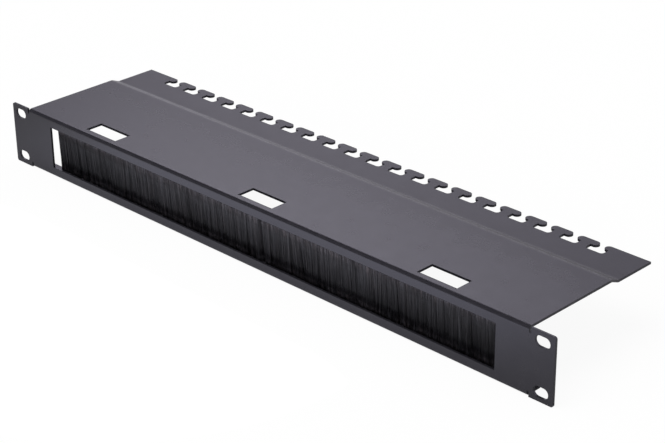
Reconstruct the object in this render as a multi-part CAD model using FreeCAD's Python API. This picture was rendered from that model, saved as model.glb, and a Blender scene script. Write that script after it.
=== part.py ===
import FreeCAD, Part
import math
import os

# Rack brush strip panel, one unit high, in millimetres.
# The origin is the centre of the rack hole pattern on the rear face of the ears:
# X runs to the right as seen from the front, Y runs back into the rack, Z runs up.

# Rack interface
rack_width = 482.6
panel_height = 44.0
ear_width = 18.3
hole_to_edge = 8.75
hole_spacing_z = 31.75
slot_length = 10.5
slot_width = 6.8
ear_corner_radius = 1.5

# Folded sheet
sheet = 1.5
bend_inside = 0.8
tray_depth = 110.0
relief_width = 1.2
relief_depth = 3.7
lip_depth = 10.5

# Step down near the rear of the tray
step_start = 72.2
step_drop = 2.5
step_angle = 22.0
step_inside = 1.5

# Brush opening in the front plate, with plain plate at each end of it
opening_end = 23.5
opening_height = 30.0

# Tie tabs and notches along the rear edge, with a plain corner beyond the last notch's middle
rear_corner = 33.0
tab_pitch = 20.0
tab_head_width = 15.4
tab_head_length = 5.6
notch_width = 12.8
notch_depth = 11.5
notch_corner = 2.2

# Windows in the tray, and the tongues that are cut from them and bent down
window_count = 3
window_pitch = 151.0
window_width = 30.0
window_back = 17.0
tongue_side_gap = 1.0
tongue_end_gap = 0.3

# Brush strips, side by side, named from left to right
strip_names = ("left", "right")
strip_count = len(strip_names)
strip_overlap = 4.5
joint_x = 7.6
strip_end_gap = 0.2
channel_width = 4.4
channel_height = 4.5
channel_wall = 0.5
channel_inside = 0.45
channel_play = 0.1
pinch_angle = 12.0
pinch_length = 1.5
wire_diameter = 1.0
bristle_play = 0.05

# Bristles below the channel, down to a clearance above the lip
tip_clearance = 2.0
tip_thickness = 3.2
ridge_pitch = 1.6
groove_depth = 0.3
parting_depth = 0.25
tip_stagger = 1.2
bristle_lean = 4.4

# Levels and places that follow from the sizes above
half_height = panel_height / 2
tray_width = rack_width - 2 * ear_width
half_tray = tray_width / 2
hole_spacing_x = rack_width - 2 * hole_to_edge
opening_width = tray_width - 2 * opening_end
strip_length = (opening_width + 2 * strip_overlap) / strip_count
bend_outside = bend_inside + sheet
tray_under = half_height - sheet
tray_level = half_height - step_drop
tab_count = round((tray_width - 2 * rear_corner) / tab_pitch)
pattern_width = tab_count * tab_pitch
window_front = channel_width + channel_play - bend_inside
piece_length = strip_length - strip_end_gap
channel_top = tray_under - bend_inside - channel_play
channel_mouth = channel_top - channel_height
channel_middle = channel_width / 2
channel_outside = channel_inside + channel_wall
bristle_reach = channel_mouth + half_height - sheet - tip_clearance
pinch_turn = math.radians(pinch_angle)
pinch_set = pinch_length * math.sin(pinch_turn) + channel_outside * (1 - math.cos(pinch_turn))
pinch_rise = pinch_length * math.cos(pinch_turn) + channel_outside * math.sin(pinch_turn)
mouth_half = channel_middle - pinch_set - channel_wall * math.cos(pinch_turn) - bristle_play
root_half = channel_middle - channel_wall - bristle_play
root_top = channel_top - channel_wall - bristle_play
fold_thickness = root_half - wire_diameter / 2 - bristle_play
wire_level = root_top - fold_thickness - bristle_play - wire_diameter / 2


def turned(vector, degrees):
    """The vector turned about X, from Y towards Z."""
    angle = math.radians(degrees)
    return FreeCAD.Vector(
        0,
        vector.y * math.cos(angle) - vector.z * math.sin(angle),
        vector.y * math.sin(angle) + vector.z * math.cos(angle),
    )


def folded_section(start, heading, thickness, moves):
    """Section of a folded strip in the YZ plane.

    The strip starts at a point on its left side. Each move is a straight length,
    or an angle (left turns positive) with the radius on the inside of the bend.
    """
    ahead = turned(FreeCAD.Vector(0, 1, 0), heading)
    across = turned(ahead, -90) * thickness
    left = FreeCAD.Vector(0, *start)
    first_end = Part.LineSegment(left + across, left).toShape()
    left_edges = []
    right_edges = []
    for kind, *values in moves:
        if kind == "straight":
            travel = ahead * values[0]
            left_edges.append(Part.LineSegment(left, left + travel).toShape())
            right_edges.append(Part.LineSegment(left + across + travel, left + across).toShape())
            left = left + travel
            continue
        angle, inside = values
        side = 1 if angle > 0 else -1
        outward = turned(ahead, 90 * side)
        near = left if side > 0 else left + across
        centre = near + outward * inside
        arms = (left - centre, left + across - centre)
        ends = [centre + turned(arm, angle) for arm in arms]
        middles = [centre + turned(arm, angle / 2) for arm in arms]
        left_edges.append(Part.Arc(left, middles[0], ends[0]).toShape())
        right_edges.append(Part.Arc(ends[1], middles[1], left + across).toShape())
        ahead = turned(ahead, angle)
        across = turned(across, angle)
        left = ends[0]
    last_end = Part.LineSegment(left, left + across).toShape()
    return Part.Face(Part.Wire(left_edges + [last_end] + right_edges[::-1] + [first_end]))


def along_x(face, x_start, length):
    """The section pushed out along X from x_start."""
    moved = face.copy()
    moved.translate(FreeCAD.Vector(x_start, 0, 0))
    return moved.extrude(FreeCAD.Vector(length, 0, 0))


def block(x_range, y_range, z_range):
    """A box between the given limits."""
    sizes = [high - low for low, high in (x_range, y_range, z_range)]
    return Part.makeBox(*sizes, FreeCAD.Vector(x_range[0], y_range[0], z_range[0]))


def slotted_hole(x, z):
    """Cutter for one rack hole, a slot with round ends along X."""
    radius = slot_width / 2
    reach = slot_length / 2 - radius
    middle = block((x - reach, x + reach), (-2 * sheet, sheet), (z - radius, z + radius))
    ends = [
        Part.makeCylinder(radius, 3 * sheet, FreeCAD.Vector(x + side * reach, -2 * sheet, z),
                          FreeCAD.Vector(0, 1, 0))
        for side in (-1, 1)
    ]
    return middle.fuse(ends)


def relief_notch(x_range, side):
    """Cutter for the round-ended notch between an ear and a fold, at the top or the bottom."""
    radius = relief_width / 2
    edge = side * half_height
    end = side * (half_height - relief_depth + radius)
    slot = block(x_range, (-2 * sheet, sheet), (min(edge, end), max(edge, end)))
    rounded = Part.makeCylinder(radius, 3 * sheet, FreeCAD.Vector(sum(x_range) / 2, -2 * sheet, end),
                                FreeCAD.Vector(0, 1, 0))
    return slot.fuse(rounded)


def ear(side):
    """One rack ear with its two slotted holes and its relief notches."""
    inner = side * half_tray
    outer = side * rack_width / 2
    plate = block((min(inner, outer), max(inner, outer)), (-sheet, 0), (-half_height, half_height))
    corners = [
        edge for edge in plate.Edges
        if abs(edge.CenterOfMass.x - outer) < 0.01 and edge.BoundBox.YLength > sheet / 2
    ]
    plate = plate.makeFillet(ear_corner_radius, corners)
    notch_end = inner + side * relief_width
    notch_range = (min(inner, notch_end), max(inner, notch_end))
    cutters = [relief_notch(notch_range, end) for end in (-1, 1)]
    cutters += [slotted_hole(side * hole_spacing_x / 2, end * hole_spacing_z / 2) for end in (-1, 1)]
    return plate.cut(cutters)


def folded_sheet():
    """Lip, front plate, tray, step and rear flange as one folded strip."""
    turn = math.radians(step_angle)
    step_arcs = (2 * step_inside + sheet) * (1 - math.cos(turn))
    step_slope = (step_drop - step_arcs) / math.sin(turn)
    step_run = (2 * step_inside + sheet) * math.sin(turn) + step_slope * math.cos(turn)
    front_flat = panel_height - 2 * bend_outside
    section = folded_section(
        (lip_depth, -half_height), 180, sheet,
        [
            ("straight", lip_depth + sheet - bend_outside),
            ("bend", -90, bend_inside),
            ("straight", front_flat),
            ("bend", -90, bend_inside),
            ("straight", step_start + sheet - bend_outside),
            ("bend", -step_angle, step_inside),
            ("straight", step_slope),
            ("bend", step_angle, step_inside),
            ("straight", tray_depth - step_start - step_run),
        ],
    )
    return along_x(section, -half_tray, tray_width)


def notch_outline(x):
    """Plan outline of one T-shaped notch, with its mouth past the rear edge."""
    mouth = (tab_pitch - tab_head_width) / 2
    lobe = tab_head_length / 2
    wide = notch_width / 2
    front = tray_depth - notch_depth
    shoulder = tray_depth - tab_head_length
    past = tray_depth + lobe
    corner = notch_corner * (1 - math.sqrt(0.5))

    def at(dx, y):
        return FreeCAD.Vector(x + dx, y, 0)

    def line(a, b):
        return Part.LineSegment(a, b).toShape()

    def arc(a, b, c):
        return Part.Arc(a, b, c).toShape()

    def half(side):
        return [
            line(at(side * (mouth + lobe), past), at(side * (mouth + lobe), tray_depth)),
            arc(at(side * (mouth + lobe), tray_depth), at(side * mouth, tray_depth - lobe),
                at(side * (mouth + lobe), shoulder)),
            line(at(side * (mouth + lobe), shoulder), at(side * wide, shoulder)),
            line(at(side * wide, shoulder), at(side * wide, front + notch_corner)),
            arc(at(side * wide, front + notch_corner), at(side * (wide - corner), front + corner),
                at(side * (wide - notch_corner), front)),
        ]

    bottom = line(at(wide - notch_corner, front), at(notch_corner - wide, front))
    top = line(at(-mouth - lobe, past), at(mouth + lobe, past))
    return Part.Wire(half(1) + [bottom] + half(-1)[::-1] + [top])


def notch_cutter(x):
    """One notch through the rear flange."""
    face = Part.Face(notch_outline(x))
    face.translate(FreeCAD.Vector(0, 0, tray_level - 2 * sheet))
    return face.extrude(FreeCAD.Vector(0, 0, 3 * sheet))


def window_centres():
    """X of each window, spread evenly about the middle."""
    first = -window_pitch * (window_count - 1) / 2
    return [first + index * window_pitch for index in range(window_count)]


def tongue_section():
    """The tongue bent down at the window's front edge, as long as the metal cut from the window."""
    flat_length = window_back - tongue_end_gap - window_front
    neutral_radius = bend_inside + 0.4 * sheet
    straight = flat_length - neutral_radius * math.pi / 2
    return folded_section(
        (window_front, half_height), 0, sheet,
        [("bend", -90, bend_inside), ("straight", straight)],
    )


def panel_tray():
    """The whole sheet: plate, ears, tray, lip, windows with tongues, and rear tabs.

    The ears keep faces of their own, because each one's rear face is its seat on the rack rail.
    """
    body = folded_sheet().fuse([ear(-1), ear(1)])
    cutters = [
        block((-opening_width / 2, opening_width / 2), (-2 * sheet, sheet),
              (-opening_height / 2, opening_height / 2))
    ]
    for x in window_centres():
        cutters.append(block((x - window_width / 2, x + window_width / 2),
                             (window_front, window_back), (tray_under - sheet, half_height + sheet)))
    for index in range(tab_count + 1):
        cutters.append(notch_cutter(index * tab_pitch - pattern_width / 2))
    body = body.cut(cutters)
    tongue_width = window_width - 2 * tongue_side_gap
    tongues = [along_x(tongue_section(), x - tongue_width / 2, tongue_width) for x in window_centres()]
    return body.fuse(tongues)


def strip_start(index):
    """X of the left end of a brush strip."""
    return joint_x + (index - strip_count / 2) * strip_length + strip_end_gap / 2


def brush_channel(index):
    """A crimped channel, open at the bottom, with its legs pinched in on the bristles."""
    leg = channel_height - channel_outside - pinch_rise
    crown = channel_width - 2 * channel_outside
    section = folded_section(
        (pinch_set, channel_mouth), 90 + pinch_angle, channel_wall,
        [
            ("straight", pinch_length),
            ("bend", -pinch_angle, channel_inside),
            ("straight", leg),
            ("bend", -90, channel_inside),
            ("straight", crown),
            ("bend", -90, channel_inside),
            ("straight", leg),
            ("bend", -pinch_angle, channel_inside),
            ("straight", pinch_length),
        ],
    )
    return along_x(section, strip_start(index), piece_length)


def core_wire(index):
    """The wire that the bristles are folded over."""
    start = FreeCAD.Vector(strip_start(index), channel_middle, wire_level)
    return Part.makeCylinder(wire_diameter / 2, piece_length, start, FreeCAD.Vector(1, 0, 0))


def bristle_root_section():
    """The packed bristles inside the channel, folded over the wire."""

    def at(side, out, z):
        return FreeCAD.Vector(0, channel_middle + side * out, z)

    waist = channel_mouth + pinch_rise
    radius = channel_inside - bristle_play
    shoulder = root_top - radius
    diagonal = radius * math.sqrt(0.5)

    def flank(side):
        return [
            Part.LineSegment(at(side, mouth_half, channel_mouth), at(side, root_half, waist)).toShape(),
            Part.LineSegment(at(side, root_half, waist), at(side, root_half, shoulder)).toShape(),
            Part.Arc(at(side, root_half, shoulder),
                     at(side, root_half - radius + diagonal, shoulder + diagonal),
                     at(side, root_half - radius, root_top)).toShape(),
        ]

    crown = Part.LineSegment(at(1, root_half - radius, root_top), at(-1, root_half - radius, root_top))
    base = Part.LineSegment(at(-1, mouth_half, channel_mouth), at(1, mouth_half, channel_mouth))
    outline = Part.Wire(flank(1) + [crown.toShape()] + flank(-1)[::-1] + [base.toShape()])
    wire_room = Part.makeCircle(wire_diameter / 2 + bristle_play,
                                FreeCAD.Vector(0, channel_middle, wire_level), FreeCAD.Vector(1, 0, 0))
    return Part.Face(outline).cut(Part.Face(Part.Wire(wire_room)))


def hanging_bristles(index):
    """The free bristles: a field of ridges leaning back, with uneven grooves and uneven tips."""
    start = strip_start(index)
    ridge_count = round(piece_length / ridge_pitch)
    step = piece_length / ridge_count / 2
    top = {-1: [], 1: []}
    tip = {-1: [], 1: []}
    for count in range(2 * ridge_count + 1):
        is_groove = count % 2 == 0
        spread = math.sin(2.3 * count + index) ** 2
        depth = (groove_depth + parting_depth * spread) if is_groove else 0
        short = tip_stagger * math.cos(1.7 * count + index) ** 2
        share = 1 - short / bristle_reach
        for side in (-1, 1):
            x = start + count * step
            root = FreeCAD.Vector(x, channel_middle + side * (mouth_half - depth), channel_mouth)
            flare = side * (tip_thickness / 2 - mouth_half)
            hang = FreeCAD.Vector(0, bristle_lean + flare, -bristle_reach)
            top[side].append(root)
            tip[side].append(root + hang * share)

    def flat(*corners):
        return Part.Face(Part.makePolygon([*corners, corners[0]]))

    faces = [flat(*top[1], *top[-1][::-1])]
    for end in (0, -1):
        faces.append(flat(top[1][end], tip[1][end], tip[-1][end], top[-1][end]))
    for count in range(2 * ridge_count):
        after = count + 1
        for side in (-1, 1):
            faces.append(flat(top[side][count], top[side][after], tip[side][after], tip[side][count]))
        faces.append(flat(tip[1][count], tip[1][after], tip[-1][after], tip[-1][count]))
    shell = Part.makeShell(faces)
    shell.sewShape()
    return Part.makeSolid(shell)


def bristles(index):
    """All the bristles of one strip, root and free length in one."""
    root = along_x(bristle_root_section(), strip_start(index), piece_length)
    return root.fuse(hanging_bristles(index))


def main():
    os.makedirs("parts", exist_ok=True)
    pieces = {"panel_tray": panel_tray()}
    for index, side in enumerate(strip_names):
        pieces["brush_channel_" + side] = brush_channel(index)
        pieces["core_wire_" + side] = core_wire(index)
        pieces["bristles_" + side] = bristles(index)
    for name, shape in pieces.items():
        print(name, "solids", len(shape.Solids), "valid", shape.isValid(), "faces", len(shape.Faces),
              "volume", round(shape.Volume, 1))
        shape.exportStep("parts/" + name + ".step")


main()
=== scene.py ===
import math

import bpy
from bpy.props import FloatProperty, FloatVectorProperty, IntProperty, PointerProperty
from mathutils import Matrix, Vector


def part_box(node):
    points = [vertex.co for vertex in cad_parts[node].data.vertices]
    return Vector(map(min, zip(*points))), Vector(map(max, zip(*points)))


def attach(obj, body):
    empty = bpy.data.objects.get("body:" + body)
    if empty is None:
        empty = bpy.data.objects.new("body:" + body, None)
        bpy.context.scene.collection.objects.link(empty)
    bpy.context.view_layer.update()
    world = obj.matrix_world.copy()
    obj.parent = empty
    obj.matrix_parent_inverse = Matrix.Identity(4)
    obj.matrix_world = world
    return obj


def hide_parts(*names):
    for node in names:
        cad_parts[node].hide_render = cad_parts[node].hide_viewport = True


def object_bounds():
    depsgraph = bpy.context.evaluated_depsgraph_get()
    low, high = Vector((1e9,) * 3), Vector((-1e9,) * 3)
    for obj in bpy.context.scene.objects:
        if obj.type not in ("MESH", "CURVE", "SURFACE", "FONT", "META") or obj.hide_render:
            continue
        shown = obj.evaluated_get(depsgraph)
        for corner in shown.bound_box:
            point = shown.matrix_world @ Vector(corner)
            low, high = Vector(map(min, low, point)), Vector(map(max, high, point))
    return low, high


bl_info = {
    "name": "Rack Brush Panel",
    "version": (1, 0, 0),
    "blender": (4, 5, 0),
    "location": "View3D > Sidebar > Brush Panel",
    "description": "Finishes a rack brush panel: coated tray, zinc channels and two dense brushes",
    "category": "Object",
}

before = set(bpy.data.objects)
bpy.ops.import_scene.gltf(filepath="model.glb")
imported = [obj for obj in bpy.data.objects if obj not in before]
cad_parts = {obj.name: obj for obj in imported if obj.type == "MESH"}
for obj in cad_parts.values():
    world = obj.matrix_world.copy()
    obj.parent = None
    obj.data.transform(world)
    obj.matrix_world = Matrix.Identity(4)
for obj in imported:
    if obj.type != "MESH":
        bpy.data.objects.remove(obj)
cad_low, cad_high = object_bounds()

MILLIMETRE = 0.001
SIDES = ("left", "right")
SMOOTH = "SMOOTHSTEP"

# Colour of light as the camera sees it, and as gloss mirrors it from the room and the floor
WHITE = (1.0, 1.0, 1.0)
COOL_WHITE = (0.98, 0.95, 1.07)
POOL_WHITE = (0.90, 0.93, 1.16)

# Powder coat: reach of the rim at a sheet edge, which is duller and darkened with painted shade,
# radius that the edge is softened by, depth of the orange peel, and length over which the step's
# painted highlight and its duller finish start and end
RIM_REACH = 0.75 * MILLIMETRE
EDGE_RADIUS = 0.22 * MILLIMETRE
PEEL_DEPTH = 0.02 * MILLIMETRE
STEP_BLUR = 1.5 * MILLIMETRE

NYLON_IOR = 1.53

# The UV map of a brush counts its filaments: neighbours lie 1 apart, and the two brushes far
# apart. A displacement texture runs twice as far as the UV map does.
COUNT_MAP = "filament"
BRUSHES_APART = 1500.0
TEXTURE_STEP = 2.0

# Filaments: how far they reach into the channel, cuts that let them bend, how far the last
# row is shifted as a share of their pitch, length of the stretches that lean one way, and
# the weight below which a point is left out of a vertex group
ROOT_RISE = 1.2 * MILLIMETRE
RING_CUTS = 2
ROW_SHIFT = 0.4
WANDER_LENGTH = 28 * MILLIMETRE
LEAST_WEIGHT = 0.002

# Fold over the wire: gaps to the wire and to the top of the CAD bristles, missing length,
# height of its feet above the mouth, how far the feet are pinched inwards, and its rounding
WIRE_GAP = 0.05 * MILLIMETRE
TOP_GAP = 0.02 * MILLIMETRE
FOLD_SHORTER = 0.1 * MILLIMETRE
FOOT_RISE = 0.4 * MILLIMETRE
FOOT_PINCH = 0.3 * MILLIMETRE
FOLD_STEPS = 12
FOLD_SMOOTH = math.radians(40)
MERGE_DISTANCE = 0.001 * MILLIMETRE

# Pool of light on the floor in front of the panel, which the front plate mirrors: its middle,
# its edge as distances from there, and the depths over which it fades to a painted shadow at the front
# plate
POOL_PLACE = (-0.03, -0.07, cad_low.z)
POOL_EDGE = (0.13, 0.30)
POOL_FRONT = (-0.06, -0.002)
POOL_STRENGTH = 1.2
POOL_UNDER_PANEL = 0.12


class BrushPanelBrush(bpy.types.PropertyGroup):
    """Sizes of the two brushes"""

    columns: IntProperty(
        name="Filaments Along", description="Filaments side by side along one strip",
        default=1220, min=100, max=1240)
    rows: IntProperty(
        name="Filament Rows", description="Filaments one behind the other", default=8, min=2, max=8)
    root_diameter: FloatProperty(
        name="Root Diameter", description="Thickness of a filament where it leaves the channel",
        default=0.26 * MILLIMETRE, unit="LENGTH", precision=5)
    tip_diameter: FloatProperty(
        name="Tip Diameter", description="Thickness of a filament at its tip",
        default=0.20 * MILLIMETRE, unit="LENGTH", precision=5)
    packed_width: FloatProperty(
        name="Packed Width", description="Thickness of the brush at the channel's mouth",
        default=2.45 * MILLIMETRE, unit="LENGTH", precision=5)
    lean: FloatProperty(
        name="Lean", description="How far the tips lie further back than the roots, on the whole",
        default=3.4 * MILLIMETRE, unit="LENGTH", precision=5)
    flare: FloatProperty(
        name="Flare", description="How much thicker the brush is at its tips",
        default=2.0 * MILLIMETRE, unit="LENGTH", precision=5)
    stray: FloatProperty(
        name="Stray", description="How far a single filament's tip strays from its neighbours",
        default=0.45 * MILLIMETRE, unit="LENGTH", precision=5)
    tuft: FloatProperty(
        name="Tuft", description="How far the tips of a tuft lie from those of the next tuft",
        default=0.7 * MILLIMETRE, unit="LENGTH", precision=5)
    tuft_filaments: FloatProperty(
        name="Tuft Size", description="Filaments along one tuft", default=9.0, min=2.0)
    drift: FloatProperty(
        name="Drift", description="How far whole stretches of the brush lean sideways at their tips",
        default=1.6 * MILLIMETRE, unit="LENGTH", precision=5)
    ragged: FloatProperty(
        name="Ragged Ends", description="Difference between the longest and the shortest filament",
        default=1.1 * MILLIMETRE, unit="LENGTH", precision=5)
    bare_end: FloatProperty(
        name="Bare End", description="Length of channel without filaments at the left end",
        default=2.0 * MILLIMETRE, unit="LENGTH", precision=5)
    splay: FloatProperty(
        name="End Splay", description="How far the tips spread past the free ends of the brushes",
        default=0.7 * MILLIMETRE, unit="LENGTH", precision=5)
    splay_reach: FloatProperty(
        name="Splay Reach", description="Length of brush that spreads at a free end",
        default=11 * MILLIMETRE, unit="LENGTH", precision=5)
    parting_place: FloatProperty(
        name="Parting", description="Place along the panel of the open parting in the right brush",
        default=170 * MILLIMETRE, unit="LENGTH", precision=5)
    parting: FloatProperty(
        name="Parting Width", description="How far the filaments lie apart at a seam or parting",
        default=1.8 * MILLIMETRE, unit="LENGTH", precision=5)
    crossing: FloatProperty(
        name="Crossing", description="How far the rear filaments cross over a seam and close it",
        default=0.7 * MILLIMETRE, unit="LENGTH", precision=5)
    parting_reach: FloatProperty(
        name="Parting Reach", description="Length of brush that is pushed aside by a parting",
        default=2.5 * MILLIMETRE, unit="LENGTH", precision=5)


class BrushPanelFinishes(bpy.types.PropertyGroup):
    """Colours and gloss of the panel's materials"""

    coat: FloatVectorProperty(
        name="Powder Coat", description="Colour of the coated sheet", subtype="COLOR", size=3,
        default=(0.018, 0.017, 0.022), min=0.0, max=1.0)
    coat_worn: FloatVectorProperty(
        name="Powder Coat, Dusty", description="Colour of the coat where it is a little paler",
        subtype="COLOR", size=3, default=(0.023, 0.022, 0.027), min=0.0, max=1.0)
    # Painted highlight: a paler coat on the tray's step stands in for light catching the bend
    coat_step_highlight: FloatVectorProperty(
        name="Powder Coat, Bend", description="Colour of the coat on the step, where it is highlighted",
        subtype="COLOR", size=3, default=(0.058, 0.056, 0.061), min=0.0, max=1.0)
    coat_roughness: FloatProperty(
        name="Coat Roughness", description="Roughness of the powder coat",
        default=0.25, min=0.0, max=1.0)
    step_start: FloatProperty(
        name="Step Start", description="Depth at which the tray steps down",
        default=72.2 * MILLIMETRE, unit="LENGTH", precision=5)
    step_end: FloatProperty(
        name="Step End", description="Depth at which the tray's rear flange begins; it is duller",
        default=79 * MILLIMETRE, unit="LENGTH", precision=5)
    zinc: FloatVectorProperty(
        name="Zinc", description="Colour of the channels", subtype="COLOR", size=3,
        default=(0.42, 0.43, 0.44), min=0.0, max=1.0)
    wire: FloatVectorProperty(
        name="Wire", description="Colour of the core wires", subtype="COLOR", size=3,
        default=(0.45, 0.45, 0.46), min=0.0, max=1.0)
    bristle_dark: FloatVectorProperty(
        name="Bristle, Dark", description="Colour of the darkest filaments", subtype="COLOR", size=3,
        default=(0.006, 0.0055, 0.0075), min=0.0, max=1.0)
    bristle_pale: FloatVectorProperty(
        name="Bristle, Pale", description="Colour of the palest filaments", subtype="COLOR", size=3,
        default=(0.120, 0.116, 0.140), min=0.0, max=1.0)
    bristle_warm: FloatVectorProperty(
        name="Bristle, Warm", description="Colour of the wisps that look a little warmer",
        subtype="COLOR", size=3, default=(0.134, 0.116, 0.132), min=0.0, max=1.0)


class BrushPanelStage(bpy.types.PropertyGroup):
    """Floor, light and camera"""

    floor_size: FloatProperty(
        name="Floor", description="Side of the floor", default=12.0, unit="LENGTH")
    floor_gap: FloatProperty(
        name="Floor Gap", description="Air between the panel and the floor",
        default=0.05 * MILLIMETRE, unit="LENGTH", precision=5)
    floor_white: FloatProperty(
        name="Floor White", description="Share of the floor's look that stays white in the shadow",
        default=0.93, min=0.0, max=1.0)
    floor_white_in_gloss: FloatProperty(
        name="Floor White In Gloss", description="The same share, as the floor is seen in gloss",
        default=0.6, min=0.0, max=1.0)
    ambient: FloatProperty(
        name="Ambient", description="Light from all round", default=0.50, min=0.0)
    high_gloss: FloatProperty(
        name="Ceiling", description="Brightness of the room overhead, as seen in gloss",
        default=0.04, min=0.0)
    front_gloss: FloatProperty(
        name="Room In Front", description="Brightness of the room in front, as seen in gloss",
        default=0.06, min=0.0)
    open_gloss: FloatProperty(
        name="Room At The Right", description="Brightness of the room at the right, as seen in gloss",
        default=0.8, min=0.0)
    key: FloatProperty(
        name="Key Light", description="Strength of the main soft light", default=1.5, min=0.0)
    fill: FloatProperty(
        name="Fill Light", description="Strength of the second soft light", default=1.0, min=0.0)
    camera_place: FloatVectorProperty(
        name="Camera", description="Place of the camera", subtype="TRANSLATION", unit="LENGTH", size=3,
        default=(0.76334, -0.69394, 0.51381))
    camera_turn: FloatProperty(
        name="Camera Turn", description="Heading of the camera from the back towards the left",
        default=math.radians(44.892), unit="ROTATION")
    camera_drop: FloatProperty(
        name="Camera Drop", description="How far the camera looks down from the level",
        default=math.radians(26.102), unit="ROTATION")
    camera_roll: FloatProperty(
        name="Camera Roll", description="Roll of the camera", default=math.radians(-0.664),
        unit="ROTATION")
    camera_lens: FloatProperty(
        name="Lens", description="Focal length in millimetres on a 36 mm wide sensor", default=99.96)


# Finishes

class Finish:
    """The nodes and links of one material, or of the room, with short calls for what they share."""

    def __init__(self, owner):
        owner.use_nodes = True
        self.nodes = owner.node_tree.nodes
        self.links = owner.node_tree.links

    def feed(self, target, values):
        """Sets a node's inputs, by name or number, or links them where another output is given."""
        for key, value in values.items():
            entry = target.inputs[key]
            if isinstance(value, bpy.types.NodeSocket):
                self.links.new(value, entry)
            elif entry.type == "RGBA":
                entry.default_value = (*value, 1.0)
            else:
                entry.default_value = value

    def node(self, kind, values=None, **settings):
        """A new node with its properties and its inputs."""
        made = self.nodes.new(kind)
        for key, value in settings.items():
            setattr(made, key, value)
        self.feed(made, values or {})
        return made

    def place(self):
        """Where a point lies on the piece, in the panel's own frame."""
        return self.node("ShaderNodeTexCoord").outputs["Object"]

    def axes(self, vector):
        """The X, Y and Z parts of a vector."""
        return self.node("ShaderNodeSeparateXYZ", {0: vector}).outputs

    def rays(self):
        """Which kind of ray meets the surface."""
        return self.node("ShaderNodeLightPath").outputs

    def noise(self, vector, scale, detail=2.0):
        """A noise texture's value; a scale for each axis draws it out into lines."""
        if isinstance(scale, tuple):
            drawn_out = self.node("ShaderNodeMapping", {"Vector": vector, "Scale": scale})
            return self.noise(drawn_out.outputs["Vector"], 1.0, detail)
        values = {"Vector": vector, "Scale": scale, "Detail": detail}
        return self.node("ShaderNodeTexNoise", values).outputs["Fac"]

    def ranged(self, value, low, high, to_low, to_high, kind="LINEAR"):
        """The value spread from one range to another, without going past its ends."""
        values = {
            "Value": value, "From Min": low, "From Max": high, "To Min": to_low, "To Max": to_high,
        }
        made = self.node("ShaderNodeMapRange", values, interpolation_type=kind, clamp=True)
        return made.outputs["Result"]

    def reckoned(self, operation, values):
        """The first value taken together with each of the others in turn."""
        result = values[0]
        for value in values[1:]:
            made = self.node("ShaderNodeMath", {0: result, 1: value}, operation=operation)
            result = made.outputs[0]
        return result

    def add(self, *values):
        """The sum of some values."""
        return self.reckoned("ADD", values)

    def times(self, *values):
        """The product of some values."""
        return self.reckoned("MULTIPLY", values)

    def most(self, *values):
        """The largest of some values."""
        return self.reckoned("MAXIMUM", values)

    def colour(self, share, first, second):
        """A blend of two colours."""
        values = {0: share, 6: first, 7: second}
        return self.node("ShaderNodeMix", values, data_type="RGBA").outputs[2]

    def surface(self, share, first, second):
        """A blend of two surfaces."""
        return self.node("ShaderNodeMixShader", {0: share, 1: first, 2: second}).outputs["Shader"]

    def softened(self, radius, samples):
        """The normal with its sharp edges rounded."""
        return self.node("ShaderNodeBevel", {"Radius": radius}, samples=samples).outputs["Normal"]

    def bumped(self, height, distance, strength, below=None):
        """A normal raised by the height, which is 0 to 1 over the distance."""
        values = {"Strength": strength, "Distance": distance, "Height": height}
        if below is not None:
            values["Normal"] = below
        return self.node("ShaderNodeBump", values).outputs["Normal"]


def new_material(name, slot_color):
    """A material with one Principled shader, and its finish."""
    material = bpy.data.materials.new(name)
    finish = Finish(material)
    material.diffuse_color = (*slot_color, 1.0)
    return material, finish, finish.nodes["Principled BSDF"]


def darker(colour, share):
    """A share of a colour."""
    return tuple(share * value for value in colour)


def powder_coat(finishes):
    """Black satin powder coat: fine orange peel, painted shade on the sheet edges and a painted
    highlight on the step.

    The gloss is slightly uneven, and duller towards the rear.
    """
    material, finish, shader = new_material("powder_coat_black", finishes.coat)
    place = finish.place()
    depth = finish.axes(place)["Y"]
    step_start = finishes.step_start
    step_end = finishes.step_end
    mottle = finish.noise(place, 90.0, detail=3.0)
    grain = finish.noise(place, 1500.0, detail=1.0)
    peel = finish.noise(place, 2600.0, detail=1.5)
    swell = finish.noise(place, 420.0, detail=1.0)

    dust = finish.add(
        finish.ranged(mottle, 0.35, 0.65, 0.0, 0.6),
        finish.ranged(grain, 0.4, 0.7, 0.0, 0.4))
    # Where the step's painted highlight lies
    step = finish.times(
        finish.ranged(depth, step_start - STEP_BLUR, step_start, 0.0, 1.0),
        finish.ranged(depth, step_end, step_end + STEP_BLUR, 1.0, 0.0))
    flat = finish.node("ShaderNodeNewGeometry").outputs["True Normal"]
    rounded = finish.softened(RIM_REACH, samples=6)
    turned = finish.node("ShaderNodeVectorMath", {0: rounded, 1: flat}, operation="DOT_PRODUCT")
    rim = finish.ranged(turned.outputs["Value"], 0.99, 0.85, 0.0, 1.0)
    colour = finish.colour(dust, finishes.coat, finishes.coat_worn)
    # Painted highlight on the step
    colour = finish.colour(step, colour, finishes.coat_step_highlight)
    # Painted shade: the coat is darker at the sheet edges
    colour = finish.colour(rim, colour, darker(finishes.coat, 0.5))

    gloss = finishes.coat_roughness
    uneven = finish.ranged(mottle, 0.3, 0.7, gloss - 0.015, gloss + 0.025)
    duller_rear = finish.add(
        finish.ranged(depth, 0.55 * step_end, 0.88 * step_end, 0.0, 0.04),
        finish.ranged(depth, step_end - STEP_BLUR, step_end, 0.0, 0.04))
    roughness = finish.add(uneven, finish.times(rim, 0.22), duller_rear)

    coarse = finish.bumped(swell, PEEL_DEPTH, 0.12, finish.softened(EDGE_RADIUS, samples=4))
    finish.feed(shader, {
        "Base Color": colour,
        "Roughness": roughness,
        "Normal": finish.bumped(peel, PEEL_DEPTH, 0.2, coarse),
        "IOR": 1.6,
        "Specular Tint": (0.94, 0.91, 1.0),
    })
    return material


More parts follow.
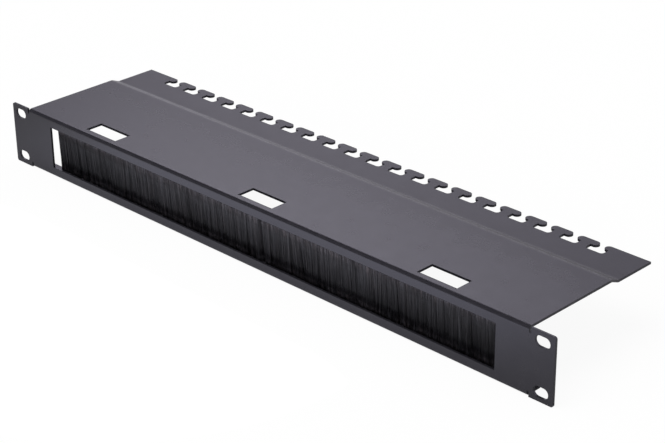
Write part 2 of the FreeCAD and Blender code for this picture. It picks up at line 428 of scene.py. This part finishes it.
def zinc_plate(finishes):
    """Zinc-plated strip: faint spangle, and roll marks along the channel."""
    material, finish, shader = new_material("channel_zinc", finishes.zinc)
    place = finish.place()
    spangle = finish.node("ShaderNodeTexVoronoi", {"Vector": place, "Scale": 420.0})
    marks = finish.noise(place, (30.0, 5200.0, 5200.0))
    tone = finish.add(
        finish.ranged(spangle.outputs["Distance"], 0.1, 0.8, 0.0, 0.5),
        finish.ranged(marks, 0.3, 0.7, 0.0, 0.5))
    finish.feed(shader, {
        "Base Color": finish.colour(tone, darker(finishes.zinc, 0.72), finishes.zinc),
        "Roughness": finish.ranged(tone, 0.0, 1.0, 0.30, 0.46),
        "Normal": finish.bumped(marks, 0.01 * MILLIMETRE, 0.5),
        "Metallic": 1.0,
    })
    return material


def drawn_wire(finishes):
    """Drawn steel wire: fine die lines along it and a few dull spots."""
    material, finish, shader = new_material("core_wire_steel", finishes.wire)
    place = finish.place()
    lines = finish.noise(place, (12.0, 9000.0, 9000.0))
    spots = finish.ranged(finish.noise(place, 260.0, detail=3.0), 0.4, 0.6, 0.0, 1.0)
    finish.feed(shader, {
        "Base Color": finish.colour(spots, darker(finishes.wire, 0.6), finishes.wire),
        "Roughness": finish.ranged(lines, 0.3, 0.7, 0.22, 0.38),
        "Normal": finish.bumped(lines, 0.008 * MILLIMETRE, 0.6),
        "Metallic": 1.0,
    })
    return material


def filament_nylon(finishes, mouth, reach):
    """Black nylon filaments: each has its own tone, in paler and darker wisps that start and end, with
    painted light and shade by height and painted shade at the ends.
    """
    material, finish, shader = new_material("filament_nylon", finishes.bristle_pale)
    count = finish.node("ShaderNodeUVMap", uv_map=COUNT_MAP).outputs["UV"]
    number = finish.axes(count)
    place = finish.axes(finish.place())
    along = place["X"]
    hang = finish.ranged(place["Z"], mouth, mouth - reach, 0.0, 1.0)
    strand = finish.node(
        "ShaderNodeCombineXYZ", {"X": number["X"], "Y": number["Y"], "Z": hang}).outputs["Vector"]
    own = finish.node(
        "ShaderNodeTexWhiteNoise", {"Vector": count}, noise_dimensions="2D").outputs["Value"]
    wisp = finish.noise(strand, (0.24, 0.55, 2.2), detail=1.0)
    tuft = finish.noise(strand, (0.06, 0.1, 1.6), detail=1.0)
    hue = finish.noise(strand, (0.045, 0.0, 1.2))

    tone = finish.add(
        finish.ranged(own, 0.0, 1.0, 0.0, 0.11),
        finish.ranged(tuft, 0.35, 0.65, 0.0, 0.09),
        finish.ranged(wisp, 0.44, 0.68, 0.0, 0.40))
    # Painted light and shade by height: palest at the channel's mouth and at the tips, darker down the
    # body
    painted_height_light = finish.add(
        finish.ranged(hang, 0.0, 0.2, 2.7, 0.1),
        finish.ranged(hang, 0.1, 0.7, 0.54, 0.24),
        finish.ranged(hang, 0.82, 0.94, 0.0, 3.4))
    # Painted shade: both ends are darker, most of all low down at the right, but not at the roots and
    # tips
    ends = finish.times(
        finish.ranged(along, -0.145, -0.110, 0.3, 1.0),
        finish.ranged(along, 0.095, 0.160, 1.0, 0.5))
    painted_foot_shade = finish.most(
        finish.ranged(hang, 0.40, 0.60, 1.0, 0.2),
        finish.ranged(along, 0.06, 0.11, 1.0, 0.2))
    kept = finish.most(
        finish.ranged(hang, 0.06, 0.16, 1.0, 0.0),
        finish.ranged(hang, 0.70, 0.82, 0.0, 1.0))
    tone = finish.times(tone, painted_height_light, finish.most(kept, finish.times(ends, painted_foot_shade)))

    warmth = finish.ranged(hue, 0.38, 0.62, 0.0, 1.0)
    pale = finish.colour(warmth, finishes.bristle_pale, finishes.bristle_warm)
    finish.feed(shader, {
        "Base Color": finish.colour(tone, finishes.bristle_dark, pale),
        "Roughness": finish.ranged(own, 0.0, 1.0, 0.28, 0.44),
        "IOR": NYLON_IOR,
    })
    return material


def folded_nylon(finishes):
    """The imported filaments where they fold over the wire: ridges across the strip."""
    material, finish, shader = new_material("folded_nylon", finishes.bristle_pale)
    lines = finish.noise(finish.place(), (5200.0, 400.0, 400.0), detail=1.0)
    ridge = finish.ranged(lines, 0.35, 0.65, 0.0, 1.0)
    finish.feed(shader, {
        "Base Color": finish.colour(ridge, finishes.bristle_dark, finishes.bristle_pale),
        "Roughness": finish.ranged(lines, 0.3, 0.7, 0.32, 0.48),
        "Normal": finish.bumped(lines, 0.12 * MILLIMETRE, 0.8),
        "IOR": NYLON_IOR,
    })
    return material


# Shapes

def start_clean():
    """Object mode with nothing selected."""
    if bpy.context.object is not None and bpy.context.object.mode != "OBJECT":
        bpy.ops.object.mode_set(mode="OBJECT")
    bpy.ops.object.select_all(action="DESELECT")


def take(piece):
    """Selects one piece alone and makes it the active one."""
    start_clean()
    piece.select_set(True)
    bpy.context.view_layer.objects.active = piece


def settle(piece):
    """Puts the piece's place, turn and scale into its mesh."""
    take(piece)
    bpy.ops.object.transform_apply(location=True, rotation=True, scale=True)


def cover(name, material):
    """Gives a CAD piece its material."""
    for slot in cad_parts[name].material_slots:
        slot.material = material


def apply_modifier(piece, kind, **settings):
    """Adds a modifier and applies it at once."""
    take(piece)
    modifier = piece.modifiers.new(kind.lower(), kind)
    for key, value in settings.items():
        setattr(modifier, key, value)
    bpy.ops.object.modifier_apply(modifier=modifier.name)


def repeat(piece, count, offset, **count_offset):
    """Copies the piece in a row; its UV map counts the copies."""
    apply_modifier(piece, "ARRAY", count=count, use_relative_offset=False,
                   use_constant_offset=True, constant_offset_displace=offset, **count_offset)


def cloud(name, size, basis="CELL_NOISE", depth=0, contrast=1.0, by_count=True):
    """A cloud texture with lumps of that size, laid on the filaments' count or on their place."""
    texture = bpy.data.textures.new(name, "CLOUDS")
    texture.noise_scale = size
    texture.noise_basis = basis
    texture.noise_depth = depth
    texture.cloud_type = "GRAYSCALE"
    texture.contrast = contrast
    if by_count:
        return {"texture": texture, "texture_coords": "UV", "uv_layer": COUNT_MAP}
    return {"texture": texture, "texture_coords": "LOCAL"}


def one_filament(brush, low, high):
    """The first filament of a brush, hanging from inside the channel, in rings that can bend."""
    top = high.z + ROOT_RISE
    length = top - low.z
    start_clean()
    bpy.ops.mesh.primitive_cone_add(
        vertices=3, radius1=brush.tip_diameter / 2, radius2=brush.root_diameter / 2, depth=length,
        end_fill_type="NGON", location=(low.x + brush.root_diameter / 2, low.y, top - length / 2))
    filament = bpy.context.object
    settle(filament)
    heights = [vertex.co.z for vertex in filament.data.vertices]
    upright = []
    for edge in filament.data.edges:
        start, end = edge.vertices
        if abs(heights[start] - heights[end]) > length / 2:
            upright.append(edge.index)
    bpy.ops.object.mode_set(mode="EDIT")
    bpy.ops.mesh.select_mode(type="EDGE")
    bpy.ops.mesh.select_all(action="DESELECT")
    bpy.ops.object.mode_set(mode="OBJECT")
    for index in upright:
        filament.data.edges[index].select = True
    bpy.ops.object.mode_set(mode="EDIT")
    bpy.ops.mesh.subdivide(number_cuts=RING_CUTS)
    bpy.ops.object.mode_set(mode="OBJECT")
    return filament


def start_count(piece, first):
    """Puts the whole piece on one point of its UV map, so that its copies can be told apart."""
    for layer in list(piece.data.uv_layers):
        piece.data.uv_layers.remove(layer)
    layer = piece.data.uv_layers.new(name=COUNT_MAP)
    for corner in layer.data:
        corner.uv = first


def spreading(brush, side, joint, free_end, aside, x, free, back):
    """How far a point goes left and right, as shares of the longest way aside.

    The front rows open at the joint and at the parting, more so at the tips, and the rear
    rows cross there. The brush also spreads past its free end.
    """
    shares = {"left": 0.0, "right": 0.0}
    for seam in (joint, brush.parting_place):
        near = math.exp(-abs(x - seam) / brush.parting_reach)
        apart = near * (0.35 + 0.65 * free) * max(0.0, 1.0 - 1.6 * back) * brush.parting / aside
        across = near * max(0.0, 2.5 * back - 1.5) * brush.crossing / aside
        away, towards = ("left", "right") if x < seam else ("right", "left")
        shares[away] += apart
        shares[towards] += across
    near_end = max(0.0, 1.0 - abs(x - free_end) / brush.splay_reach)
    shares[side] += free * near_end * brush.splay / aside
    return min(1.0, shares["left"]), min(1.0, shares["right"])


def weigh(piece, brush, side, joint, free_end, aside, low, high):
    """Vertex groups: how free each point is, how free in the front and rear rows, its spreading."""
    reach = high.z - low.z
    groups = {}
    for vertex in piece.data.vertices:
        x, y, z = vertex.co
        free = min(1.0, max(0.0, (high.z - z) / reach))
        back = min(1.0, max(0.0, (y - low.y) / brush.packed_width))
        left, right = spreading(brush, side, joint, free_end, aside, x, free, back)
        weights = {
            "hang": free,
            "curve": free * free,
            "front": free * (1.0 - 0.75 * back),
            "rear": free * back,
            "tip": 1.0 if free > 0.99 else 0.0,
            "aside_left": left,
            "aside_right": right,
        }
        for name, weight in weights.items():
            members = groups.setdefault(name, {})
            if weight > LEAST_WEIGHT:
                members.setdefault(round(weight, 2), []).append(vertex.index)
    for name, members in groups.items():
        group = piece.vertex_groups.new(name=name)
        for weight, indices in members.items():
            group.add(indices, weight, "REPLACE")


def fill_brush(side, brush, joint, free_end):
    """One brush: a filament arrayed along the strip and in rows, then bent, parted and spread."""
    low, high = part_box("bristles_" + side)
    channel_low, channel_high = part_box("brush_channel_" + side)
    middle = (channel_low.y + channel_high.y) / 2
    start = low.x + (brush.bare_end if side == "left" else 0.0)
    front = Vector((start, middle - brush.packed_width / 2, low.z))
    rear = Vector((high.x, middle + brush.packed_width / 2, channel_low.z))
    piece = one_filament(brush, front, rear)
    start_count(piece, (1.0 + BRUSHES_APART * SIDES.index(side), 1.0))
    pitch = (high.x - start - brush.root_diameter) / (brush.columns - 0.5)
    gaps = brush.rows - 1
    repeat(piece, brush.columns, (pitch, 0.0, 0.0), offset_u=1.0)
    row_offset = (ROW_SHIFT * pitch / gaps, brush.packed_width / gaps, 0.0)
    repeat(piece, brush.rows, row_offset, offset_v=1.0)
    aside = max(brush.parting, brush.splay)
    weigh(piece, brush, side, joint, free_end, aside, front, rear)

    stray = cloud("stray", TEXTURE_STEP)
    stray_across = cloud("stray_across", TEXTURE_STEP, contrast=1.2)
    wisp = cloud("wisp", TEXTURE_STEP * 0.45 * brush.tuft_filaments)
    tuft = cloud("tuft", TEXTURE_STEP * brush.tuft_filaments)
    wide_tuft = cloud("wide_tuft", TEXTURE_STEP * 2.7 * brush.tuft_filaments)
    lock = cloud("lock", TEXTURE_STEP * 1.6 * brush.tuft_filaments, "BLENDER_ORIGINAL", depth=1)
    wander = cloud("wander", WANDER_LENGTH, "BLENDER_ORIGINAL", by_count=False)
    # A push with no pattern moves its group as a whole
    whole = {}
    # Axis, distance, vertex group, pattern, and the pattern's value that stays in place
    pushes = (
        ("Z", brush.ragged, "tip", stray, 0.0),
        ("Z", 0.5 * brush.ragged, "tip", wander, 0.2),
        ("Y", brush.lean - brush.flare / 2, "hang", whole, 0.0),
        ("Y", brush.flare, "rear", whole, 0.0),
        ("X", 2 * brush.stray, "hang", stray, 0.5),
        ("Y", 1.2 * brush.stray, "curve", stray_across, 0.5),
        ("X", 0.5 * brush.tuft, "hang", wisp, 0.5),
        ("Y", 0.7 * brush.tuft, "front", wisp, 0.5),
        ("X", brush.tuft, "front", tuft, 0.5),
        ("Y", 1.2 * brush.tuft, "front", tuft, 0.5),
        ("Y", 2.2 * brush.tuft, "front", wide_tuft, 0.5),
        ("X", 0.8 * brush.tuft, "front", wide_tuft, 0.5),
        ("X", brush.drift, "front", lock, 0.5),
        ("X", brush.drift, "curve", wander, 0.5),
        ("X", -aside, "aside_left", whole, 0.0),
        ("X", aside, "aside_right", whole, 0.0),
    )
    for direction, distance, group, pattern, still in pushes:
        apply_modifier(piece, "DISPLACE", direction=direction, strength=distance,
                       vertex_group=group, mid_level=still, **pattern)
    take(piece)
    bpy.ops.object.shade_smooth()
    return piece


def fold_root(side):
    """The filaments' fold over the wire: a leg is raised, spun over the wire and let down again."""
    wire_low, wire_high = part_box("core_wire_" + side)
    channel_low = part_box("brush_channel_" + side)[0]
    low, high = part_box("bristles_" + side)
    axis = (wire_low + wire_high) / 2
    inside = (wire_high.z - wire_low.z) / 2 + WIRE_GAP
    outside = high.z - axis.z - TOP_GAP
    base = channel_low.z + FOOT_RISE
    leg = axis.z - base
    start_clean()
    bpy.ops.mesh.primitive_plane_add(
        size=1.0, location=((low.x + high.x) / 2, axis.y - (inside + outside) / 2, base))
    root = bpy.context.object
    root.scale = (high.x - low.x - FOLD_SHORTER, outside - inside, 1.0)
    settle(root)
    bpy.ops.object.mode_set(mode="EDIT")
    bpy.ops.mesh.select_mode(type="FACE")
    bpy.ops.mesh.select_all(action="SELECT")
    bpy.ops.mesh.extrude_region_move(TRANSFORM_OT_translate={"value": (0.0, 0.0, leg)})
    bpy.ops.mesh.spin(steps=FOLD_STEPS, angle=math.pi, center=axis, axis=(-1.0, 0.0, 0.0))
    bpy.ops.mesh.extrude_region_move(TRANSFORM_OT_translate={"value": (0.0, 0.0, -leg)})
    bpy.ops.mesh.select_all(action="SELECT")
    bpy.ops.mesh.remove_doubles(threshold=MERGE_DISTANCE)
    bpy.ops.mesh.normals_make_consistent(inside=False)
    bpy.ops.object.mode_set(mode="OBJECT")
    for vertex in root.data.vertices:
        if vertex.co.z < base + leg / 4:
            vertex.co.y += FOOT_PINCH if vertex.co.y < axis.y else -FOOT_PINCH
    take(root)
    bpy.ops.object.shade_smooth_by_angle(angle=FOLD_SMOOTH)
    return root


# Steps

class BRUSHPANEL_OT_coat_tray(bpy.types.Operator):
    """Give the folded sheet its black powder coat"""

    bl_idname = "brush_panel.coat_tray"
    bl_label = "Coat the Tray"

    def execute(self, context):
        cover("panel_tray", powder_coat(context.scene.brush_panel_finishes))
        return {"FINISHED"}


class BRUSHPANEL_OT_plate_channels(bpy.types.Operator):
    """Give the two channels their zinc and the core wires their steel"""

    bl_idname = "brush_panel.plate_channels"
    bl_label = "Plate the Channels and Wires"

    def execute(self, context):
        finishes = context.scene.brush_panel_finishes
        zinc = zinc_plate(finishes)
        steel = drawn_wire(finishes)
        for side in SIDES:
            cover("brush_channel_" + side, zinc)
            cover("core_wire_" + side, steel)
        return {"FINISHED"}


class BRUSHPANEL_OT_fill_brushes(bpy.types.Operator):
    """Fill both channels with rows of nylon filaments"""

    bl_idname = "brush_panel.fill_brushes"
    bl_label = "Fill the Brushes"

    def execute(self, context):
        brush = context.scene.brush_panel_brush
        finishes = context.scene.brush_panel_finishes
        left_low, left_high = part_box("bristles_left")
        right_low, right_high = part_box("bristles_right")
        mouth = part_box("brush_channel_left")[0].z
        nylon = filament_nylon(finishes, mouth, mouth - left_low.z)
        folded = folded_nylon(finishes)
        joint = (left_high.x + right_low.x) / 2
        for side, free_end in (("left", left_low.x), ("right", right_high.x)):
            field = fill_brush(side, brush, joint, free_end)
            root = fold_root(side)
            field.data.materials.append(nylon)
            root.data.materials.append(folded)
            take(field)
            root.select_set(True)
            bpy.ops.object.join()
            field.name = "brush_filaments_" + side
            field.data.name = field.name
            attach(field, "root")
            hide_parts("bristles_" + side)
        return {"FINISHED"}


class BRUSHPANEL_OT_set_stage(bpy.types.Operator):
    """Lay the pale floor, hang the soft lights and place the camera"""

    bl_idname = "brush_panel.set_stage"
    bl_label = "Set the Stage"

    def execute(self, context):
        stage = context.scene.brush_panel_stage
        lay_floor(stage)
        light_room(context.scene, stage)
        hang_sun("key_light", stage.key, spread=45.0, towards=(-0.20, -0.25, 0.94))
        hang_sun("fill_light", stage.fill, spread=50.0, towards=(-0.35, -0.85, 0.20))
        place_camera(context.scene, stage)
        context.scene.view_settings.view_transform = "Standard"
        return {"FINISHED"}


def seen_directly(finish, in_gloss=1.0):
    """1 for camera and transmission rays, another value for glossy rays, and 0 for all others."""
    rays = finish.rays()
    gloss = finish.times(rays["Is Glossy Ray"], in_gloss)
    return finish.most(rays["Is Camera Ray"], gloss, rays["Is Transmission Ray"])


def lay_floor(stage):
    """A pale floor that looks white where no shadow falls; in gloss it is a pool of light.

    The camera sees through it from below.
    """
    start_clean()
    bpy.ops.mesh.primitive_plane_add(
        size=stage.floor_size, location=(0.0, 0.0, cad_low.z - stage.floor_gap))
    floor = bpy.context.object
    floor.name = "floor"
    settle(floor)
    material, finish, shader = new_material("floor_white", (0.9, 0.9, 0.9))
    finish.feed(shader, {
        "Base Color": (0.95, 0.95, 0.95),
        "Roughness": 1.0,
        "Specular IOR Level": 0.0,
    })
    place = finish.place()
    away = finish.node("ShaderNodeVectorMath", {0: place, 1: POOL_PLACE}, operation="DISTANCE")
    pool = finish.ranged(away.outputs["Value"], *POOL_EDGE, POOL_STRENGTH, 0.0, SMOOTH)
    # Painted shadow: the pool fades under and next to the panel
    in_front = finish.ranged(finish.axes(place)["Y"], *POOL_FRONT, 1.0, POOL_UNDER_PANEL)
    rays = finish.rays()
    glow = finish.node("ShaderNodeEmission", {
        "Color": finish.colour(rays["Is Glossy Ray"], WHITE, POOL_WHITE),
        "Strength": finish.most(finish.times(pool, in_front), rays["Is Camera Ray"]),
    })
    in_gloss = stage.floor_white_in_gloss / stage.floor_white
    white = finish.times(seen_directly(finish, in_gloss), stage.floor_white)
    top = finish.surface(white, shader.outputs["BSDF"], glow.outputs["Emission"])
    from_below = finish.times(
        rays["Is Camera Ray"], finish.node("ShaderNodeNewGeometry").outputs["Backfacing"])
    clear = finish.node("ShaderNodeBsdfTransparent").outputs["BSDF"]
    both = finish.surface(from_below, top, clear)
    finish.feed(finish.nodes["Material Output"], {"Surface": both})
    floor.data.materials.append(material)


def rising(degrees):
    """The Z part of a direction that points up at that angle."""
    return math.sin(math.radians(degrees))


def light_room(scene, stage):
    """Even light all round, and a room that only gloss mirrors.

    Its back wall is bright from 27 to 34 degrees up and again near the level. The room is dark
    in front, overhead and in a gap at the left, and open and pale at the right and far left.
    """
    world = bpy.data.worlds.new("pale_room")
    scene.world = world
    room = Finish(world)
    even = room.nodes["Background"]
    room.feed(even, {"Color": WHITE, "Strength": stage.ambient})
    direction = room.axes(room.node("ShaderNodeTexCoord").outputs["Generated"])
    across = direction["X"]
    level = direction["Z"]
    height = room.most(
        room.ranged(level, rising(23), rising(27), 0.4, 2.4),
        room.most(
            room.ranged(level, rising(8), rising(19), 1.05, 0.0),
            room.ranged(level, rising(6), rising(12), 1.5, 0.0)))
    ceiling = room.ranged(level, rising(34), rising(42), 1.0, stage.high_gloss, SMOOTH)
    side = room.times(
        room.ranged(across, -0.78, -0.73, 0.0, 1.0, SMOOTH),
        room.ranged(across, -0.68, -0.42, 1.0, 0.3))
    back = room.ranged(direction["Y"], -0.20, 0.15, stage.front_gloss, 1.0, SMOOTH)
    wall = room.times(room.times(height, ceiling), room.times(side, back))
    open_sides = room.most(
        room.ranged(across, -0.35, 0.0, 0.0, stage.open_gloss, SMOOTH),
        room.ranged(across, -0.86, -0.93, 0.0, 0.7 * stage.open_gloss, SMOOTH))
    rays = room.rays()
    seen = room.node("ShaderNodeBackground", {
        "Color": room.colour(rays["Is Glossy Ray"], WHITE, COOL_WHITE),
        "Strength": room.most(room.most(wall, open_sides), rays["Is Camera Ray"]),
    })
    both = room.surface(
        seen_directly(room), even.outputs["Background"], seen.outputs["Background"])
    room.feed(room.nodes["World Output"], {"Surface": both})


def hang_sun(name, strength, spread, towards):
    """A wide soft light from one direction, even over the whole floor."""
    start_clean()
    bpy.ops.object.light_add(type="SUN", location=Vector(towards))
    lamp = bpy.context.object
    lamp.name = name
    lamp.rotation_euler = Vector(towards).to_track_quat("Z", "Y").to_euler()
    lamp.data.energy = strength
    lamp.data.angle = math.radians(spread)
    lamp.visible_glossy = False


def place_camera(scene, stage):
    """The camera, at the photograph's place and angle."""
    start_clean()
    bpy.ops.object.camera_add()
    camera = bpy.context.object
    camera.name = "view_camera"
    camera.data.sensor_width = 36.0
    camera.data.lens = stage.camera_lens
    camera.data.clip_start = 0.01
    camera.data.clip_end = 50.0
    camera.matrix_world = (
        Matrix.Translation(Vector(stage.camera_place))
        @ Matrix.Rotation(stage.camera_turn, 4, "Z")
        @ Matrix.Rotation(math.pi / 2 - stage.camera_drop, 4, "X")
        @ Matrix.Rotation(stage.camera_roll, 4, "Z")
    )
    scene.camera = camera


OPERATORS = (
    BRUSHPANEL_OT_coat_tray,
    BRUSHPANEL_OT_plate_channels,
    BRUSHPANEL_OT_fill_brushes,
    BRUSHPANEL_OT_set_stage,
)
SETTINGS = {
    "brush_panel_brush": BrushPanelBrush,
    "brush_panel_finishes": BrushPanelFinishes,
    "brush_panel_stage": BrushPanelStage,
}


class BRUSHPANEL_PT_sidebar(bpy.types.Panel):
    """The panel's sizes, colours and steps"""

    bl_label = "Brush Panel"
    bl_space_type = "VIEW_3D"
    bl_region_type = "UI"
    bl_category = "Brush Panel"

    def draw(self, context):
        for name, settings in SETTINGS.items():
            box = self.layout.box()
            for key in settings.__annotations__:
                box.prop(getattr(context.scene, name), key)
        for operator in OPERATORS:
            self.layout.operator(operator.bl_idname)


def register():
    for settings in SETTINGS.values():
        bpy.utils.register_class(settings)
    for name, settings in SETTINGS.items():
        setattr(bpy.types.Scene, name, PointerProperty(type=settings))
    for operator in OPERATORS:
        bpy.utils.register_class(operator)
    bpy.utils.register_class(BRUSHPANEL_PT_sidebar)


def unregister():
    bpy.utils.unregister_class(BRUSHPANEL_PT_sidebar)
    for operator in reversed(OPERATORS):
        bpy.utils.unregister_class(operator)
    for name in SETTINGS:
        delattr(bpy.types.Scene, name)
    for settings in SETTINGS.values():
        bpy.utils.unregister_class(settings)


def main():
    """Builds everything in order."""
    register()
    bpy.ops.brush_panel.coat_tray()
    bpy.ops.brush_panel.plate_channels()
    bpy.ops.brush_panel.fill_brushes()
    bpy.ops.brush_panel.set_stage()


if __name__ == "__main__":
    main()
